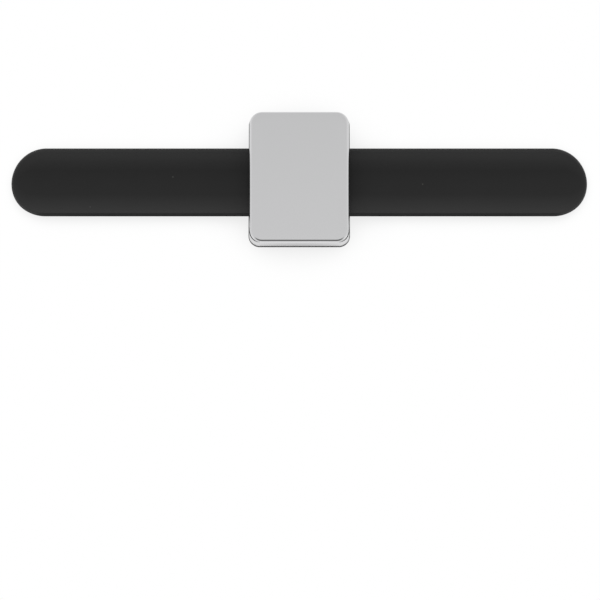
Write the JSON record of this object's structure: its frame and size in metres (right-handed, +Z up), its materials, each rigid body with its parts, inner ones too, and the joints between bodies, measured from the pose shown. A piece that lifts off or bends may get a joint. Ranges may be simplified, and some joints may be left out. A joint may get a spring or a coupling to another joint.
{
  "type": "wrist pin cushion",
  "caption": "Magnetic wrist pin cushion: a drawn steel box with magnets inside, on a silicone slap band that lies straight and curls round the wrist.",
  "frame": {"origin": "middle of the flat underside of the band loop", "axes": "+X along the straight band, +Y across it, +Z up through the steel cover"},
  "size_m": [0.23, 0.0546, 0.0137],
  "materials": {
    "stainless_cover": "drawn stainless sheet, fine satin",
    "silicone": "matte black moulded silicone",
    "spring_steel": "rolled spring strip",
    "base_plastic": "black moulded ABS, fine texture",
    "ferrite": "pressed and ground ferrite",
    "foam": "grey foam tape"
  },
  "bodies": {
    "plate": {"cover": "stainless_cover", "base": "base_plastic", "magnet_front": "ferrite", "magnet_rear": "ferrite", "pad_front": "foam", "pad_rear": "foam", "sleeve_centre": "silicone", "spring_centre": "spring_steel"},
    "left_1": {"sleeve_left_1": "silicone", "spring_left_1": "spring_steel"},
    "left_2": {"sleeve_left_2": "silicone", "spring_left_2": "spring_steel"},
    "left_3": {"sleeve_left_3": "silicone", "spring_left_3": "spring_steel"},
    "left_4": {"sleeve_left_4": "silicone", "spring_left_4": "spring_steel"},
    "left_5": {"sleeve_left_5": "silicone", "spring_left_5": "spring_steel"},
    "left_6": {"sleeve_left_6": "silicone", "spring_left_6": "spring_steel"},
    "left_7": {"sleeve_left_7": "silicone", "spring_left_7": "spring_steel"},
    "left_8": {"sleeve_left_8": "silicone", "spring_left_8": "spring_steel"},
    "left_9": {"sleeve_left_9": "silicone", "spring_left_9": "spring_steel"},
    "left_10": {"sleeve_left_10": "silicone", "spring_left_10": "spring_steel"},
    "left_11": {"sleeve_left_11": "silicone", "spring_left_11": "spring_steel"},
    "left_12": {"sleeve_left_12": "silicone", "spring_left_12": "spring_steel"},
    "right_1": {"sleeve_right_1": "silicone", "spring_right_1": "spring_steel"},
    "right_2": {"sleeve_right_2": "silicone", "spring_right_2": "spring_steel"},
    "right_3": {"sleeve_right_3": "silicone", "spring_right_3": "spring_steel"},
    "right_4": {"sleeve_right_4": "silicone", "spring_right_4": "spring_steel"},
    "right_5": {"sleeve_right_5": "silicone", "spring_right_5": "spring_steel"},
    "right_6": {"sleeve_right_6": "silicone", "spring_right_6": "spring_steel"},
    "right_7": {"sleeve_right_7": "silicone", "spring_right_7": "spring_steel"},
    "right_8": {"sleeve_right_8": "silicone", "spring_right_8": "spring_steel"},
    "right_9": {"sleeve_right_9": "silicone", "spring_right_9": "spring_steel"},
    "right_10": {"sleeve_right_10": "silicone", "spring_right_10": "spring_steel"},
    "right_11": {"sleeve_right_11": "silicone", "spring_right_11": "spring_steel"},
    "right_12": {"sleeve_right_12": "silicone", "spring_right_12": "spring_steel"}
  },
  "joints": [
    {"name": "left_curl", "type": "hinge", "parent": "plate", "child": "left_1", "pos_m": [-0.0185, 0, 0.00155], "axis": [0, -1, 0], "range_deg": [0, 20]},
    {"name": "left_curl_2", "type": "hinge", "parent": "left_1", "child": "left_2", "pos_m": [-0.02295, 0, 0.00155], "axis": [0, -1, 0], "range_deg": [0, 19.5]},
    {"name": "left_curl_3", "type": "hinge", "parent": "left_2", "child": "left_3", "pos_m": [-0.02785, 0, 0.00155], "axis": [0, -1, 0], "range_deg": [0, 19]},
    {"name": "left_curl_4", "type": "hinge", "parent": "left_3", "child": "left_4", "pos_m": [-0.03324, 0, 0.00155], "axis": [0, -1, 0], "range_deg": [0, 18]},
    {"name": "left_curl_5", "type": "hinge", "parent": "left_4", "child": "left_5", "pos_m": [-0.03916, 0, 0.00155], "axis": [0, -1, 0], "range_deg": [0, 17.5]},
    {"name": "left_curl_6", "type": "hinge", "parent": "left_5", "child": "left_6", "pos_m": [-0.04568, 0, 0.00155], "axis": [0, -1, 0], "range_deg": [0, 17]},
    {"name": "left_curl_7", "type": "hinge", "parent": "left_6", "child": "left_7", "pos_m": [-0.05285, 0, 0.00155], "axis": [0, -1, 0], "range_deg": [0, 16]},
    {"name": "left_curl_8", "type": "hinge", "parent": "left_7", "child": "left_8", "pos_m": [-0.06074, 0, 0.00155], "axis": [0, -1, 0], "range_deg": [0, 15]},
    {"name": "left_curl_9", "type": "hinge", "parent": "left_8", "child": "left_9", "pos_m": [-0.06941, 0, 0.00155], "axis": [0, -1, 0], "range_deg": [0, 14.5]},
    {"name": "left_curl_10", "type": "hinge", "parent": "left_9", "child": "left_10", "pos_m": [-0.07896, 0, 0.00155], "axis": [0, -1, 0], "range_deg": [0, 14.5]},
    {"name": "left_curl_11", "type": "hinge", "parent": "left_10", "child": "left_11", "pos_m": [-0.08945, 0, 0.00155], "axis": [0, -1, 0], "range_deg": [0, 16]},
    {"name": "left_curl_12", "type": "hinge", "parent": "left_11", "child": "left_12", "pos_m": [-0.101, 0, 0.00155], "axis": [0, -1, 0], "range_deg": [0, 18]},
    {"name": "right_curl", "type": "hinge", "parent": "plate", "child": "right_1", "pos_m": [0.0185, 0, 0.00155], "axis": [0, 1, 0], "range_deg": [0, 18.5]},
    {"name": "right_curl_2", "type": "hinge", "parent": "right_1", "child": "right_2", "pos_m": [0.02295, 0, 0.00155], "axis": [0, 1, 0], "range_deg": [0, 18.5]},
    {"name": "right_curl_3", "type": "hinge", "parent": "right_2", "child": "right_3", "pos_m": [0.02785, 0, 0.00155], "axis": [0, 1, 0], "range_deg": [0, 18.5]},
    {"name": "right_curl_4", "type": "hinge", "parent": "right_3", "child": "right_4", "pos_m": [0.03324, 0, 0.00155], "axis": [0, 1, 0], "range_deg": [0, 18.5]},
    {"name": "right_curl_5", "type": "hinge", "parent": "right_4", "child": "right_5", "pos_m": [0.03916, 0, 0.00155], "axis": [0, 1, 0], "range_deg": [0, 18.5]},
    {"name": "right_curl_6", "type": "hinge", "parent": "right_5", "child": "right_6", "pos_m": [0.04568, 0, 0.00155], "axis": [0, 1, 0], "range_deg": [0, 18.5]},
    {"name": "right_curl_7", "type": "hinge", "parent": "right_6", "child": "right_7", "pos_m": [0.05285, 0, 0.00155], "axis": [0, 1, 0], "range_deg": [0, 18.5]},
    {"name": "right_curl_8", "type": "hinge", "parent": "right_7", "child": "right_8", "pos_m": [0.06074, 0, 0.00155], "axis": [0, 1, 0], "range_deg": [0, 18.5]},
    {"name": "right_curl_9", "type": "hinge", "parent": "right_8", "child": "right_9", "pos_m": [0.06941, 0, 0.00155], "axis": [0, 1, 0], "range_deg": [0, 18.5]},
    {"name": "right_curl_10", "type": "hinge", "parent": "right_9", "child": "right_10", "pos_m": [0.07896, 0, 0.00155], "axis": [0, 1, 0], "range_deg": [0, 18.5]},
    {"name": "right_curl_11", "type": "hinge", "parent": "right_10", "child": "right_11", "pos_m": [0.08945, 0, 0.00155], "axis": [0, 1, 0], "range_deg": [0, 18.5]},
    {"name": "right_curl_12", "type": "hinge", "parent": "right_11", "child": "right_12", "pos_m": [0.101, 0, 0.00155], "axis": [0, 1, 0], "range_deg": [0, 18.5]}
  ],
  "couplings": [
    {"joint": "left_curl_2", "follows": "left_curl", "ratio": 0.975},
    {"joint": "left_curl_3", "follows": "left_curl", "ratio": 0.95},
    {"joint": "left_curl_4", "follows": "left_curl", "ratio": 0.9},
    {"joint": "left_curl_5", "follows": "left_curl", "ratio": 0.875},
    {"joint": "left_curl_6", "follows": "left_curl", "ratio": 0.85},
    {"joint": "left_curl_7", "follows": "left_curl", "ratio": 0.8},
    {"joint": "left_curl_8", "follows": "left_curl", "ratio": 0.75},
    {"joint": "left_curl_9", "follows": "left_curl", "ratio": 0.725},
    {"joint": "left_curl_10", "follows": "left_curl", "ratio": 0.725},
    {"joint": "left_curl_11", "follows": "left_curl", "ratio": 0.8},
    {"joint": "left_curl_12", "follows": "left_curl", "ratio": 0.9},
    {"joint": "right_curl_2", "follows": "right_curl", "ratio": 1},
    {"joint": "right_curl_3", "follows": "right_curl", "ratio": 1},
    {"joint": "right_curl_4", "follows": "right_curl", "ratio": 1},
    {"joint": "right_curl_5", "follows": "right_curl", "ratio": 1},
    {"joint": "right_curl_6", "follows": "right_curl", "ratio": 1},
    {"joint": "right_curl_7", "follows": "right_curl", "ratio": 1},
    {"joint": "right_curl_8", "follows": "right_curl", "ratio": 1},
    {"joint": "right_curl_9", "follows": "right_curl", "ratio": 1},
    {"joint": "right_curl_10", "follows": "right_curl", "ratio": 1},
    {"joint": "right_curl_11", "follows": "right_curl", "ratio": 1},
    {"joint": "right_curl_12", "follows": "right_curl", "ratio": 1}
  ]
}
